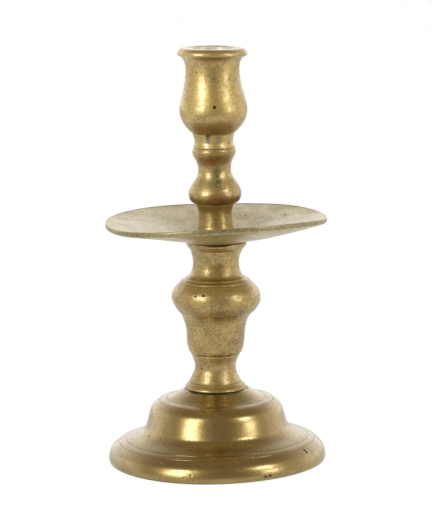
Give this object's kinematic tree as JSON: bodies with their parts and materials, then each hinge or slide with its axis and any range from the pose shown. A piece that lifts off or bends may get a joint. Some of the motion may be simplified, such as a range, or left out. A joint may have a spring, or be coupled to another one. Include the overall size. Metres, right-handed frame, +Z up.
{
  "type": "candlestick",
  "caption": "Turned brass candlestick with a bell base, baluster stem, wide drip pan at mid height and a cup-shaped candle socket; the upper half unscrews.",
  "frame": {"origin": "centre of the foot, on the table", "axes": "+Z up along the axis that the whole stick is turned on, +X to the right and -Y towards the viewer in the picture"},
  "size_m": [0.121, 0.121, 0.2245],
  "materials": {
    "base_brass": "old cast brass, turned and worn smooth, darkened brown",
    "nut_brass": "old brass, dull and dark",
    "stem_brass": "old cast brass, turned and polished by handling, browner in the hollows",
    "pan_brass": "old brass, grey and hazy in the dish, yellow at the rim",
    "socket_brass": "old cast brass, turned and polished, with small casting pits"
  },
  "bodies": {
    "stand": {"base": "base_brass", "base_washer": "nut_brass", "base_nut": "nut_brass", "lower_stem": "stem_brass"},
    "collar": {"drip_pan": "pan_brass"},
    "top": {"upper_stem": "stem_brass", "candle_socket": "socket_brass"}
  },
  "joints": [
    {"name": "unscrew_turn", "type": "hinge", "parent": "stand", "child": "collar", "pos_m": [0, 0, 0.1189], "axis": [0, 0, 1], "range_deg": [0, 1800]},
    {"name": "unscrew_rise", "type": "slide", "parent": "collar", "child": "top", "axis": [0, 0, 1], "range_m": [0, 0.01]}
  ],
  "couplings": [
    {"joint": "unscrew_rise", "follows": "unscrew_turn", "m_per_rad": 0.0003183}
  ]
}
